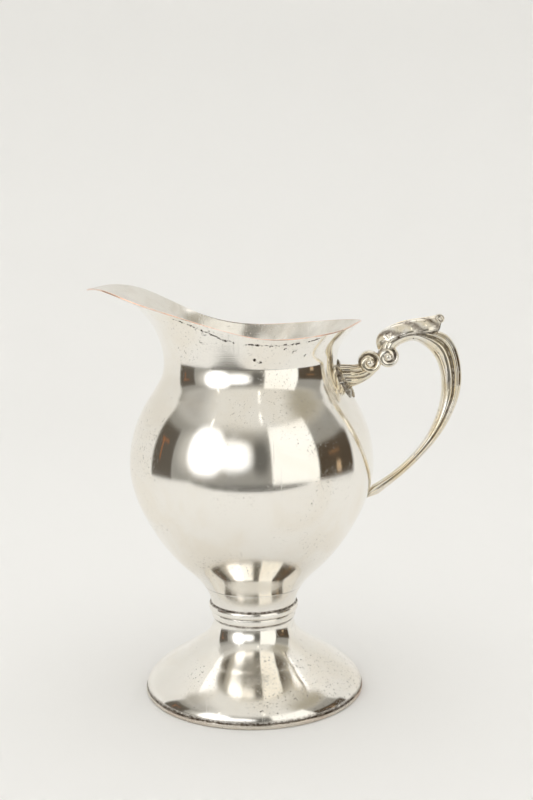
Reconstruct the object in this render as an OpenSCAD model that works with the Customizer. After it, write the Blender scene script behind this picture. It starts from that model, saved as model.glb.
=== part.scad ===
// Footed water pitcher: a spun bulb with a pulled spout, on a stem with a double bead and a trumpet foot,
// with a cast scroll handle. Origin: centre of the foot's resting ring. +Z up, spout to -X, handle to +X.

/* [Foot] */
// Diameter over the foot's rolled edge
foot_d = 134; // [126:1:140]
// Height of the foot's rolled edge
foot_edge_h = 3.2; // [2.4:0.2:3.6]
// Radial width of the rolled edge's section
foot_edge_w = 3.0; // [2.4:0.2:4]

/* [Stem] */
// Outside diameter of the stem inside the bead ring
stem_d = 52; // [50:0.2:55]
// Height of the bead ring's lower face
ring_z = 45.6; // [44:0.2:47]
// Height of each of the ring's two beads
bead_h = 4.4; // [3.6:0.2:5]
// Height of the joint between the stem and the bulb
seam_z = 66; // [64:0.5:68]

/* [Body] */
// Greatest diameter of the bulb
belly_d = 147; // [140:1:152]
// Height of the bulb's greatest diameter
belly_z = 140.6; // [136:0.2:146]
// Outside diameter of the neck's waist
neck_d = 103.6; // [100:0.2:108]
// Height of the neck's waist
neck_z = 203; // [200:0.5:206]
// Thickness of the body's sheet
wall = 0.9; // [0.7:0.1:1.2]

/* [Handle] */
// Scale of the handle's sections, in their own plane and across it
grip_scale = 1.0; // [0.9:0.02:1.1]
// Diameter of the scroll at the end of the short arm
arm_scroll_d = 13.6; // [12:0.2:14.4]
// Diameter of the scroll at the head of the grip
grip_scroll_d = 12.6; // [11:0.2:13]
// Thickness of the leaves that spread over the neck
leaf_t = 1.6; // [1:0.1:2]

/* [Hidden] */
silver = "#cfcac0";
worn_silver = "#b9b2a3";
dark_silver = "#8f897c";
foot_r = foot_d / 2;
stem_r = stem_d / 2;
foot_top_r = stem_r - 1.6;
belly_r = belly_d / 2;
neck_r = neck_d / 2;
ring_top = ring_z + 2 * bead_h;
foot_wall = 0.9;      // thickness of the foot's and the stem's sheet
turns = 96;           // steps round the mouth
steps = 12;           // steps along each curve of a profile
lap = 2;              // depth to which the mouth's sheet runs into the neck
lap_in = 0.15;        // how far the lap lies inside each face of the neck

// ---- curves -------------------------------------------------------------------------------------

// Point at t on the cubic curve from a to d, pulled towards b and c
function bezier(a, b, c, d, t) =
    a * pow(1 - t, 3) + 3 * b * t * pow(1 - t, 2) + 3 * c * t * t * (1 - t) + d * pow(t, 3);

// The same curve as a list of points, without its first point
function bezier_run(a, b, c, d, n = steps) = [for (i = [1:n]) bezier(a, b, c, d, i / n)];

// Point at t on the smooth span between the two middle ones of four control points
function span(a, b, c, d, t) =
    (a * pow(1 - t, 3) + b * (3 * t * t * t - 6 * t * t + 4)
     + c * (-3 * t * t * t + 3 * t * t + 3 * t + 1) + d * t * t * t) / 6;

// Open smooth curve that starts at the first control point and ends at the last
function with_ends(p) = concat([2 * p[0] - p[1]], p, [2 * p[len(p) - 1] - p[len(p) - 2]]);
function smooth_run(p, n) =
    let (q = with_ends(p))
    [for (k = [0:(len(p) - 1) * n])
        let (i = min(floor(k / n), len(p) - 2))
        span(q[i], q[i + 1], q[i + 2], q[i + 3], k / n - i)];

// A profile moved to its left by t, for the inside of a sheet
function unit(v) = v / norm(v);
function normal_at(p, i) =
    let (d = unit(p[min(i + 1, len(p) - 1)] - p[max(i - 1, 0)])) [-d[1], d[0]];
function shifted(p, t) = [for (i = [0:len(p) - 1]) p[i] + t * normal_at(p, i)];
function backwards(p) = [for (i = [len(p) - 1:-1:0]) p[i]];

// ---- profiles of the turned pieces, as radius and height ----------------------------------------

// Bulb, from the stem joint up to the neck's waist. The turning points are where its curve
// changes from hollow to full and back.
low_turn = [44.4, 80.8];
high_turn = [58, 186];
low_dir = [cos(45.4), sin(45.4)];
high_dir = [-cos(59), sin(59)];
bulb_whole = concat(
    [[stem_r + 0.1, ring_top]],
    bezier_run([stem_r + 0.1, ring_top], [stem_r + 0.1, ring_top + 10.6], low_turn - 7.4 * low_dir, low_turn),
    bezier_run(low_turn, low_turn + 18 * low_dir, [belly_r, belly_z - 21], [belly_r, belly_z]),
    bezier_run([belly_r, belly_z], [belly_r, belly_z + 26], high_turn - 4.8 * high_dir, high_turn),
    bezier_run(high_turn, high_turn + 6 * high_dir, [neck_r, neck_z - 8], [neck_r, neck_z])
);
// Radius of the bulb's outside at height z
function bulb_r(z) = lookup(z, [for (p = bulb_whole) [p[1], p[0]]]);
seam_r = bulb_r(seam_z);
bulb_out = concat([[seam_r, seam_z]], [for (p = bulb_whole) if (p[1] > seam_z + 0.5) p]);
collar_out = concat([for (p = bulb_whole) if (p[1] < seam_z - 0.5) p], [[seam_r, seam_z]]);
dish_drop = 4;        // how far the bulb's closed bottom dips inside the stem

module body_turned() {
    dish_r = seam_r - foot_wall;
    dish = bezier_run([0, seam_z - dish_drop], [dish_r / 2, seam_z - dish_drop],
                      [dish_r - 6, seam_z - 1], [dish_r, seam_z], 8);
    outside = concat([[0, seam_z - dish_drop]], dish, bulb_out);
    inside = shifted(concat([[0, seam_z - dish_drop]], dish, [for (p = bulb_out) if (p[1] > seam_z + 2) p]),
                     wall);
    inside_open = [for (p = inside) [max(p[0], 0), min(p[1], neck_z)]];
    rotate_extrude($fn = 180) polygon(concat(outside, backwards(inside_open)));
}

// ---- mouth: from the neck's waist out to the rim ------------------------------------------------

// Control points of one half of the rim, from over the handle round to the spout's tip: x, side offset,
// and height on the left and on the right of the spout's line. The lip is hand pulled, so the two
// sides of the spout's root differ a little.
rim_half = [
    [67.5, 0, 226.5, 226.5], [64, 18.5, 225.5, 227], [53.5, 42.5, 223.5, 223], [29.5, 56, 221, 220.5],
    [9, 57, 220, 220], [-12.5, 54, 221, 225.5], [-37.5, 46.5, 227.5, 232], [-63.5, 45.5, 241.5, 239.5],
    [-84, 34.5, 248.5, 248], [-96.5, 10.5, 245.5, 246], [-97, 0, 245, 245]
];
rim_loop = concat(
    [for (p = rim_half) [p[0], p[1], p[2]]],
    [for (i = [len(rim_half) - 2:-1:1]) [rim_half[i][0], -rim_half[i][1], rim_half[i][3]]]
);
function rim_ctrl(i) = rim_loop[(i + len(rim_loop)) % len(rim_loop)];
function rim_point(s) =
    let (k = s * len(rim_loop), i = floor(k))
    span(rim_ctrl(i - 1), rim_ctrl(i), rim_ctrl(i + 1), rim_ctrl(i + 2), k - i);

// How the sheet goes at turn a, as parts of its rise and its reach: the height to which it leaves the
// neck upright, how far out it lies next, and how far up. The sides flare early and the spout lies flat.
function upright(a) = 0.45 - 0.38 * pow(sin(a), 2);
function reached(a) = 0.36 + 0.14 * pow(sin(a), 2);
function lie_down(a) = 0.62 + 0.42 * pow((1 - cos(a)) / 2, 2) - 0.12 * pow(sin(a), 2);

// A point of the sheet, at turn s round the mouth and t of the way from the neck to the rim
function mouth_point(s, t) =
    let (r = rim_point(s), a = atan2(r[1], r[0]), c = [cos(a), sin(a)], w = neck_r * c,
         out = norm([r[0], r[1]]) - neck_r, up = r[2] - neck_z,
         b = concat(w, neck_z + upright(a) * up),
         d = concat(w + reached(a) * out * c, neck_z + lie_down(a) * up))
    bezier(concat(w, neck_z), b, d, r, t);
function mouth_normal(s, t) =
    let (e = 0.002, t0 = min(max(t, 0.01), 0.99),
         ds = mouth_point(s + e, t0) - mouth_point(s - e, t0),
         dt = mouth_point(s, t0 + e) - mouth_point(s, t0 - e))
    unit(cross(ds, dt));

// The mouth's closed section at turn s: down inside the neck's sheet, up the outside to the rim, and
// back down the inside
mouth_rise = 9;       // rings from the neck to the rim
function mouth_section(s) =
    let (a = atan2(rim_point(s)[1], rim_point(s)[0]), c = [cos(a), sin(a)])
    concat(
        [concat((neck_r - lap_in) * c, neck_z - lap)],
        [concat((neck_r - lap_in) * c, neck_z + 0.3)],
        [for (i = [1:mouth_rise]) mouth_point(s, i / mouth_rise)],
        [for (i = [mouth_rise:-1:1])
            mouth_point(s, i / mouth_rise) - wall * mouth_normal(s, i / mouth_rise)],
        [concat((neck_r - wall + lap_in) * c, neck_z + 0.3)],
        [concat((neck_r - wall + lap_in) * c, neck_z - lap)]
    );

// Solid ring whose sections are closed loops of the same count
module ring_solid(sections) {
    n = len(sections);
    m = len(sections[0]);
    polyhedron(
        points = [for (s = sections) each s],
        faces = [for (i = [0:n - 1], j = [0:m - 1], half = [0, 1])
            let (a = i * m + j, b = i * m + (j + 1) % m,
                 c = ((i + 1) % n) * m + (j + 1) % m, d = ((i + 1) % n) * m + j)
            half == 0 ? [a, b, c] : [a, c, d]]
    );
}

// Solid bar whose sections are closed loops of the same count, with a fan over each end. An end that
// sits on a bulged surface is given the middle point of its fan.
function middle(loop) = [for (k = [0:2]) [for (p = loop) p[k]] * [for (p = loop) 1 / len(loop)]];
module bar_solid(sections, first_mid = undef, last_mid = undef) {
    n = len(sections);
    m = len(sections[0]);
    mid_a = is_undef(first_mid) ? middle(sections[0]) : first_mid;
    mid_b = is_undef(last_mid) ? middle(sections[n - 1]) : last_mid;
    polyhedron(
        points = concat([for (s = sections) each s], [mid_a, mid_b]),
        faces = concat(
            [for (i = [0:n - 2], j = [0:m - 1], half = [0, 1])
                let (a = i * m + j, b = i * m + (j + 1) % m, c = a + m, d = b + m)
                half == 0 ? [a, b, d] : [a, d, c]],
            [for (j = [0:m - 1]) [(j + 1) % m, j, n * m]],
            [for (j = [0:m - 1]) [(n - 1) * m + j, (n - 1) * m + (j + 1) % m, n * m + 1]]
        )
    );
}

module body_shell() {
    color(silver) union() {
        body_turned();
        ring_solid([for (i = [0:turns - 1]) mouth_section(i / turns)]);
    }
}

// ---- stem, beads and foot -----------------------------------------------------------------------

// Short sleeve from inside the bead ring up to the bulb
module stem_collar() {
    outside = concat([[stem_r, ring_z + bead_h], [stem_r, ring_top]], collar_out);
    inside = [for (p = outside) [p[0] - foot_wall, p[1]]];
    color(silver) rotate_extrude($fn = 120) polygon(concat(outside, backwards(inside)));
}

// Half-round ring soldered round a tube of radius inner_r, with its faces reaching out by seat
module bead(z, inner_r, seat, outer_r) {
    face_r = inner_r + seat;
    side = [for (a = [-90:15:90]) [face_r + (outer_r - face_r) * cos(a), z + bead_h / 2 * (1 + sin(a))]];
    rotate_extrude($fn = 120) polygon(concat([[inner_r, z]], side, [[inner_r, z + bead_h]]));
}

module upper_bead() {
    color(silver) bead(ring_z + bead_h, stem_r, 0.4, stem_r + 1.5);
}

module lower_bead() {
    color(silver) bead(ring_z, foot_top_r, 1.1, stem_r);
}

// Trumpet foot, from the ring's middle down to its rolled edge
foot_turn = [41.9, 23.9];
foot_out = concat(
    [[foot_top_r, ring_z + bead_h], [foot_top_r, ring_z]],
    bezier_run([foot_top_r, ring_z], [foot_top_r, ring_z - 11.9], foot_turn + [-6.4, 4.5], foot_turn, 14),
    bezier_run(foot_turn, foot_turn + [6.3, -4.4], [foot_r - 0.4, 10], [foot_r - 0.5, foot_edge_h], 16)
);

module foot_shell() {
    foot_in = [for (p = shifted(foot_out, -foot_wall)) [p[0], max(p[1], foot_edge_h)]];
    color(silver) rotate_extrude($fn = 180) polygon(concat(foot_out, backwards(foot_in)));
}

// Rolled edge that the pitcher rests on, worn flat underneath
module foot_rim_wire() {
    r = 1.1;
    in_r = foot_r - foot_edge_w;
    corner = function (cx, cz, from) [for (a = [from:-15:from - 90]) [cx + r * cos(a), cz + r * sin(a)]];
    color(worn_silver) rotate_extrude($fn = 180) polygon(concat(
        [[in_r, 0], [in_r, foot_edge_h]],
        corner(foot_r - r, foot_edge_h - r, 90),
        corner(foot_r - r, r, 0)
    ));
}

// ---- handle -------------------------------------------------------------------------------------

// A station of a cast bar: place in the handle's plane, thickness in that plane, width across it
grip_ctrl = [
    [81.4, 205.5, 10, 9.6], [81.2, 214.3, 9.6, 10], [96, 219.7, 8.4, 10.4], [103, 217, 9, 10.6],
    [112.7, 213, 14.9, 12], [117.4, 205.5, 13.5, 12.6], [121.2, 187.6, 12, 12.5],
    [114, 162.8, 7.2, 11], [97.5, 141.5, 4.6, 8.3], [82, 129, 5.2, 8], [74.6, 124, 6.5, 7.8]
];
leaf_ctrl = [
    [77.6, 209.5, 3.4, 7], [76.2, 215, 4.6, 10], [80.8, 220.2, 4.4, 12.5], [90.5, 224, 4.2, 13.5],
    [98.5, 225.1, 4.4, 13.6], [105, 225.4, 5.6, 13], [110, 226.4, 5.2, 10.5], [112.9, 227.8, 3.6, 8]
];
arm_ctrl = [[60, 193.6, 13.6, 13], [63, 194.2, 12.2, 12], [68, 196.2, 11, 11.5], [72.5, 200, 9.5, 11]];
arm_eye = [70.9, 202];
grip_eye = [81.8, 205];

function flat(v) = [v[0], v[1]];
// Direction away from the inside of the curve, at station i of a run
function outward(run, i) =
    let (d = unit(flat(run[min(i + 1, len(run) - 1)]) - flat(run[max(i - 1, 0)]))) [-d[1], d[0]];
function placed(p, n, s, y) = [p[0] + n[0] * s, y, p[1] + n[1] * s];

// Section with a round inner rod and a back strap, parted by a groove on each side
groove_at = 0.1;      // where the groove lies, from the middle towards the strap
groove_depth = 0.15;
function grip_section(p, n) = [for (a = [0:18:342])
    let (q = cos(a), cut = 1 - groove_depth * exp(-pow((q - groove_at) / 0.28, 2)))
    placed(p, n, grip_scale * p[2] / 2 * q, grip_scale * p[3] / 2 * sin(a) * cut)];

// Section of a leaf that lies over the grip, thick in the middle and drooping at its edges
leaf_droop = 3.2;
function leaf_side(p, n, q, face) =
    let (half_t = p[2] / 2 * (1 - 0.8 * q * q))
    placed(p, n, face * half_t - leaf_droop * pow(abs(q), 2.2), p[3] / 2 * q);
function leaf_section(p, n) = concat(
    [for (q = [-1:0.2:1]) leaf_side(p, n, q, 1)],
    [for (q = [1:-0.2:-1]) leaf_side(p, n, q, -1)]
);

function round_section(p, n) = [for (a = [0:20:340])
    placed(p, n, p[2] / 2 * cos(a), p[3] / 2 * sin(a))];

module scroll_boss(eye, d, w) {
    eye_d = 4.4;
    translate([eye[0], w / 2, eye[1]]) rotate([90, 0, 0]) cylinder(d = d, h = w, $fn = 60);
    translate([eye[0], w / 2 + 0.7, eye[1]]) rotate([90, 0, 0]) cylinder(d = eye_d, h = w + 1.4, $fn = 40);
}

// Point of the bulb's or neck's outside at height z and side offset y, moved out by t
function on_bulb(y, z, t) = [sqrt(pow(bulb_r(z) + t, 2) - y * y), y, z];

// Leaves of the arm's root, spread over the neck
plate_low = 180.5;
plate_high = 202.5;
plate_reach = 13.5;   // how far the leaves spread to each side
function plate_half(z) =
    let (u = (z - plate_low) / (plate_high - plate_low)) plate_reach * pow(sin(180 * (0.04 + 0.92 * u)), 0.75);
// Point of the leaves' outside: thick along the middle and thin at the edges
function on_plate(y, z) = on_bulb(y, z, 0.3 + leaf_t * (1 - 0.6 * pow(y / plate_half(z), 2)));
module neck_leaf_plate() {
    rows = 14;
    cols = 12;
    color(dark_silver) bar_solid([for (i = [0:rows])
        let (z = plate_low + (plate_high - plate_low) * i / rows, w = plate_half(z))
        concat(
            [for (j = [0:cols]) on_bulb(w * (2 * j / cols - 1), z, 0.02)],
            [for (j = [cols:-1:0]) on_plate(w * (2 * j / cols - 1), z)]
        )]);
}

// Short arm from the leaves up to its own scroll, hollowed where the grip's scroll seats
module handle_arm() {
    run = smooth_run(arm_ctrl, 4);
    root_half = [arm_ctrl[0][3], arm_ctrl[0][2]] / 2;
    root = [for (a = [0:20:340]) on_plate(root_half[0] * sin(a), arm_ctrl[0][1] + root_half[1] * cos(a))];
    color(silver) difference() {
        union() {
            bar_solid(concat([root], [for (i = [0:len(run) - 1]) round_section(run[i], outward(run, i))]),
                      first_mid = on_plate(0, arm_ctrl[0][1]));
            scroll_boss(arm_eye, arm_scroll_d, 11);
        }
        translate([grip_eye[0], 12, grip_eye[1]]) rotate([90, 0, 0])
            cylinder(d = grip_scroll_d, h = 24, $fn = 60);
    }
}

// Main scroll of the handle, mitred to the bulb at its lower end
module handle_grip() {
    run = smooth_run(grip_ctrl, 4);
    end = len(run) - 1;
    dir = unit(flat(run[end]) - flat(run[end - 1]));
    reach = 5;
    landed = function (p) on_bulb(p[1], p[2] + dir[1] * reach, 0);
    end_ring = [for (p = grip_section(run[end], outward(run, end))) landed(p)];
    color(silver) union() {
        bar_solid(concat([for (i = [0:end]) grip_section(run[i], outward(run, i))], [end_ring]),
                  last_mid = landed([run[end][0], 0, run[end][1]]));
        scroll_boss(grip_eye, grip_scroll_d, 10);
    }
}

// Leaf cap over the head of the grip, ending in a thumb curl
module thumb_leaf() {
    run = smooth_run(leaf_ctrl, 4);
    color(silver) bar_solid([for (i = [0:len(run) - 1]) leaf_section(run[i], outward(run, i))]);
}

body_shell();
stem_collar();
upper_bead();
lower_bead();
foot_shell();
foot_rim_wire();
neck_leaf_plate();
handle_arm();
handle_grip();
thumb_leaf();
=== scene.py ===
"""A silver-plated water pitcher: the detailed meshes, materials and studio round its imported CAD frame."""
import math

import bpy
import numpy as np
from mathutils import Matrix, Vector, noise


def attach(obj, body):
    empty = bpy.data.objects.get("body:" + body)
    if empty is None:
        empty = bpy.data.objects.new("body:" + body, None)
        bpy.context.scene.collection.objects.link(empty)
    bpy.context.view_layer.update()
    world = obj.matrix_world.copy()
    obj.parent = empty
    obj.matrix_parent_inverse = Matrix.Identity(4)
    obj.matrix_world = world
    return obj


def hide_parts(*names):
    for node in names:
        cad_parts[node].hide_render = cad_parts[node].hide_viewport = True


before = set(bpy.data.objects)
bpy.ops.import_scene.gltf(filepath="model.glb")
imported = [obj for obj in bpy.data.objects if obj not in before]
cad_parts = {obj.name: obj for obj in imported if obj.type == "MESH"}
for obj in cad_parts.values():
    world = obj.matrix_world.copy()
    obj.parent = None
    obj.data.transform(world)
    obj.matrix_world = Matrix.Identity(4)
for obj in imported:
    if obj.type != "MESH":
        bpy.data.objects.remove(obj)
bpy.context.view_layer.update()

MM = 0.001
BODY = "root"

# ---- sizes repeated from the design, in millimetres -----------------------------------------------

STEM_R = 26.0
FOOT_TOP_R = 24.4
FOOT_R = 67.0
FOOT_EDGE_H = 3.2
FOOT_EDGE_W = 3.0
FOOT_WALL = 0.9
BELLY_R = 73.5
BELLY_Z = 140.6
NECK_R = 51.8
NECK_Z = 203.0
WALL = 0.9
RING_Z = 45.6
BEAD_H = 4.4
RING_TOP = RING_Z + 2 * BEAD_H
SEAM_Z = 66.0
DISH_DROP = 4.0
FOOT_TURN = np.array([41.9, 23.9])
LOW_TURN, LOW_SLOPE = np.array([44.4, 80.8]), math.radians(45.4)
HIGH_TURN, HIGH_SLOPE = np.array([58.0, 186.0]), math.radians(59)
# x, side offset, height on the far side and on the near side
RIM_HALF = [
    (67.5, 0, 226.5, 226.5), (64, 18.5, 225.5, 227), (53.5, 42.5, 223.5, 223), (29.5, 56, 221, 220.5),
    (9, 57, 220, 220), (-12.5, 54, 221, 225.5), (-37.5, 46.5, 227.5, 232), (-63.5, 45.5, 241.5, 239.5),
    (-84, 34.5, 248.5, 248), (-96.5, 10.5, 245.5, 246), (-97, 0, 245, 245),
]

# ---- curves ---------------------------------------------------------------------------------------


def bezier(a, b, c, d, n):
    """n points along the cubic from a to d pulled towards b and c, without the first."""
    a, b, c, d = (np.asarray(p, float) for p in (a, b, c, d))
    t = (np.arange(1, n + 1) / n)[:, None]
    return a * (1 - t) ** 3 + 3 * b * t * (1 - t) ** 2 + 3 * c * t * t * (1 - t) + d * t**3


def span_weights(t):
    """Weights of the four control points of a smooth span at t."""
    return np.array([
        (1 - t) ** 3,
        3 * t**3 - 6 * t**2 + 4,
        -3 * t**3 + 3 * t**2 + 3 * t + 1,
        t**3,
    ]) / 6


def closed_spline(ctrl, s):
    """Point of the closed smooth curve at s from 0 to 1."""
    n = len(ctrl)
    k = s * n
    i = int(math.floor(k))
    four = np.array([ctrl[(i + j) % n] for j in (-1, 0, 1, 2)], float)
    return span_weights(k - i) @ four


def open_spline(ctrl, t):
    """Value at t from 0 to 1 of the smooth curve that starts and ends at its end points."""
    c = np.asarray(ctrl, float)
    c = np.vstack([2 * c[0] - c[1], c, 2 * c[-1] - c[-2]])
    spans = len(c) - 3
    k = min(max(t, 0.0), 1.0) * spans
    i = min(int(k), spans - 1)
    return span_weights(k - i) @ c[i : i + 4]


def resample(points, step):
    """The same polyline with points at an even step along it."""
    p = np.asarray(points, float)
    run = np.concatenate([[0], np.cumsum(np.linalg.norm(np.diff(p, axis=0), axis=1))])
    n = max(2, int(round(run[-1] / step)))
    at = np.linspace(0, run[-1], n + 1)
    return np.column_stack([np.interp(at, run, p[:, k]) for k in range(p.shape[1])])


def smooth(x, low, high):
    """0 below low, 1 above high, and a smooth step between."""
    t = np.clip((np.asarray(x, float) - low) / (high - low), 0, 1)
    return t * t * (3 - 2 * t)


def bump_at(x, centre, width):
    """A bell of height 1 at centre."""
    return np.exp(-(((np.asarray(x, float) - centre) / width) ** 2))


# ---- meshes ---------------------------------------------------------------------------------------


def make_object(name, verts, faces, attributes):
    """A smooth-shaded object from vertices in metres, faces and values at the vertices."""
    mesh = bpy.data.meshes.new(name)
    mesh.from_pydata([tuple(v) for v in verts], [], faces)
    mesh.polygons.foreach_set("use_smooth", [True] * len(mesh.polygons))
    for key, values in attributes.items():
        layer = mesh.attributes.new(key, "FLOAT", "POINT")
        layer.data.foreach_set("value", np.asarray(values, np.float32).ravel())
    mesh.validate()
    mesh.update()
    obj = bpy.data.objects.new(name, mesh)
    bpy.context.scene.collection.objects.link(obj)
    return obj


def make_piece(name, node, verts, faces, attributes):
    """A piece from vertices in millimetres, which rides on the pitcher's body in place of a node."""
    obj = make_object(name, np.asarray(verts) * MM, faces, attributes)
    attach(obj, BODY)
    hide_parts(node)
    return obj


def grid_faces(rows, cols):
    """Quads of a rows x cols grid of vertices whose columns go all the way round."""
    faces = []
    for i in range(rows - 1):
        for j in range(cols):
            a, b = i * cols + j, i * cols + (j + 1) % cols
            faces.append((a, b, b + cols, a + cols))
    return faces


def patch_faces(n):
    """Quads of an open square of n x n cells."""
    corners = [i * (n + 1) + j for i in range(n) for j in range(n)]
    return [(k, k + n + 1, k + n + 2, k + 1) for k in corners]


def revolve(profile, cols, closed):
    """Vertices and faces of a profile of radius and height turned about the axis. A closed profile
    is a loop, and an open one stops at its end points."""
    angles = np.linspace(0, 2 * math.pi, cols, endpoint=False)
    ring = np.column_stack([np.cos(angles), np.sin(angles)])
    p = np.asarray(profile, float)
    rows = [np.column_stack([ring * r, np.full(cols, z)]) for r, z in p]
    verts = np.vstack(rows)
    faces = grid_faces(len(rows), cols)
    if closed:
        last = (len(rows) - 1) * cols
        for j in range(cols):
            k = (j + 1) % cols
            faces.append((last + j, last + k, k, j))
    return verts, faces


# ---- body: bulb, neck and mouth -------------------------------------------------------------------

COLS = 240                # columns of points round the axis
MOUTH_ROWS = 44
LIP_ROWS = 3
DISH_MIDDLE_R = 0.6       # where the rows of points start, close to the axis
LIP_SET_BACK = 0.5        # the rounded lip ends this much short of the design's sharp one
LIP_ROUND = 0.3           # how far the lip bulges
LIP_SETTLE = 0.12         # how much lower the spout's top lies, to stay inside the design's box
LIP_SETTLE_Z = 238        # where that starts
LIP_SETTLE_RISE = 8       # and the height over which it comes in


def bulb_profile(step=1.0):
    """Outside of the bulb from the stem's ring to the neck's waist, as radius and height."""
    low = np.array([math.cos(LOW_SLOPE), math.sin(LOW_SLOPE)])
    high = np.array([-math.cos(HIGH_SLOPE), math.sin(HIGH_SLOPE)])
    start = np.array([STEM_R + 0.1, RING_TOP])
    belly, neck = np.array([BELLY_R, BELLY_Z]), np.array([NECK_R, NECK_Z])
    fine = 120
    p = np.vstack([
        [start],
        bezier(start, start + [0, 10.6], LOW_TURN - 7.4 * low, LOW_TURN, fine),
        bezier(LOW_TURN, LOW_TURN + 18 * low, belly - [0, 21], belly, fine),
        bezier(belly, belly + [0, 26], HIGH_TURN - 4.8 * high, HIGH_TURN, fine),
        bezier(HIGH_TURN, HIGH_TURN + 6 * high, neck - [0, 8], neck, fine),
    ])
    return resample(p, step)


BULB = bulb_profile()


def bulb_r(z):
    """Outside radius of the bulb at height z."""
    return float(np.interp(z, BULB[:, 1], BULB[:, 0]))


RIM_LOOP = [np.array(p[:3], float) for p in RIM_HALF] + [
    np.array([p[0], -p[1], p[3]], float) for p in RIM_HALF[-2:0:-1]
]


def mouth_column(s, ts):
    """Points of the mouth's outside along one column, from the neck at t = 0 to the rim at t = 1."""
    r = closed_spline(RIM_LOOP, s)
    a = math.atan2(r[1], r[0])
    c = np.array([math.cos(a), math.sin(a)])
    out, up = math.hypot(r[0], r[1]) - NECK_R, r[2] - NECK_Z
    upright = 0.45 - 0.38 * math.sin(a) ** 2
    reached = 0.36 + 0.14 * math.sin(a) ** 2
    lie_down = 0.62 + 0.42 * ((1 - math.cos(a)) / 2) ** 2 - 0.12 * math.sin(a) ** 2
    p0 = np.array([*(NECK_R * c), NECK_Z])
    p1 = np.array([*(NECK_R * c), NECK_Z + upright * up])
    p2 = np.array([*((NECK_R + reached * out) * c), NECK_Z + lie_down * up])
    t = ts[:, None]
    return p0 * (1 - t) ** 3 + 3 * p1 * t * (1 - t) ** 2 + 3 * p2 * t * t * (1 - t) + r * t**3


def grid_normals(grid):
    """Unit normals of a grid of points whose columns wrap round."""
    across = np.roll(grid, -1, axis=1) - np.roll(grid, 1, axis=1)
    along = np.gradient(grid, axis=0)
    n = np.cross(across, along)
    return n / np.maximum(np.linalg.norm(n, axis=2, keepdims=True), 1e-12)


def hand_wobble(p, size, depth, seed):
    """Depth of the faint unevenness of hand-finished sheet at point p."""
    return depth * 0.5 * (1 + noise.noise(Vector(p) / size + Vector((seed, 0, 0))))


# the old crack along the near lip: angle round the axis, and how far below the lip it runs there
CRACK_LINE = [(-132, 2.7), (-123, 2.8), (-103, 5.3), (-92, 5.5), (-80, 3.7), (-60, 3.8), (-48, 2.4)]
CRACK_ANGLES = np.linspace(-132, -94.5, 14)
PIT_ANGLES = np.linspace(-91, -48.5, 12)
# single pits lower down, by angle and distance below the lip
LOW_PITS = [(-85, 13), (-81, 14), (-67, 6.5), (-62, 9.5), (-60, 8.5), (-54, 13.5)]


def below_lip(angle, depth):
    """Point of the mouth's near side at an angle in degrees, and a distance down from the lip."""
    s_values = np.linspace(0.51, 0.99, 240)
    rim = np.array([closed_spline(RIM_LOOP, s) for s in s_values])
    s = np.interp(angle, np.degrees(np.arctan2(rim[:, 1], rim[:, 0])), s_values)
    column = mouth_column(s, np.linspace(1, 0, 120))
    run = np.concatenate([[0], np.cumsum(np.linalg.norm(np.diff(column, axis=0), axis=1))])
    return np.array([np.interp(depth, run, column[:, k]) for k in range(3)])


def along_crack(angles, size, step, spread, seed):
    """Marks of uneven size, scattered a little above and below the crack's line."""
    rng = np.random.default_rng(seed)
    marks = []
    for place in resample([below_lip(a, np.interp(a, *zip(*CRACK_LINE))) for a in angles], step):
        at = place + np.array([0, 0, rng.normal(0, spread)])
        marks.append((at, size * rng.uniform(0.45, 1.1)))
    return marks


def crack_marks():
    """Place and reach of each mark: the crack itself, the pits that it breaks up into towards the
    handle, and the single pits."""
    crack = along_crack(CRACK_ANGLES, 0.75, 0.55, 0.22, 3)
    pits = along_crack(PIT_ANGLES, 0.95, 1.15, 0.45, 5)
    return crack + pits + [(below_lip(*pit), 1.3) for pit in LOW_PITS]


def body_outside():
    """Rows of points of the body's outside from the middle of its dished bottom to the rim, and how
    many of them belong to the dish."""
    s_values = np.arange(COLS) / COLS
    rim = np.array([closed_spline(RIM_LOOP, s) for s in s_values])
    angle = np.arctan2(rim[:, 1], rim[:, 0])
    ring = np.column_stack([np.cos(angle), np.sin(angle)])
    seam_r = bulb_r(SEAM_Z)
    dish_r = seam_r - WALL
    dish_z = SEAM_Z - DISH_DROP
    middle = [DISH_MIDDLE_R, dish_z]
    dish = np.vstack([
        [middle],
        bezier(middle, [dish_r / 2, dish_z], [dish_r - 6, SEAM_Z - 1], [dish_r, SEAM_Z], 16),
    ])
    profile = np.vstack([dish, [[seam_r, SEAM_Z]], [p for p in BULB if p[1] > SEAM_Z]])
    turned = np.array([np.column_stack([ring * r, np.full(COLS, z)]) for r, z in profile])
    ts = np.linspace(0, 1, MOUTH_ROWS + 1)[1:]
    mouth = np.array([mouth_column(s, ts) for s in s_values]).transpose(1, 0, 2)
    return np.vstack([turned, mouth]), len(dish)


def hand_finish(grid):
    """Make a grid of points faintly uneven, always inwards so that the sheet keeps its size."""
    normals = grid_normals(grid)
    for i, j in np.ndindex(grid.shape[:2]):
        depth = hand_wobble(grid[i, j], 24, 0.05, 3.1) + hand_wobble(grid[i, j], 9, 0.012, 7.7)
        grid[i, j] -= normals[i, j] * depth


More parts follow.
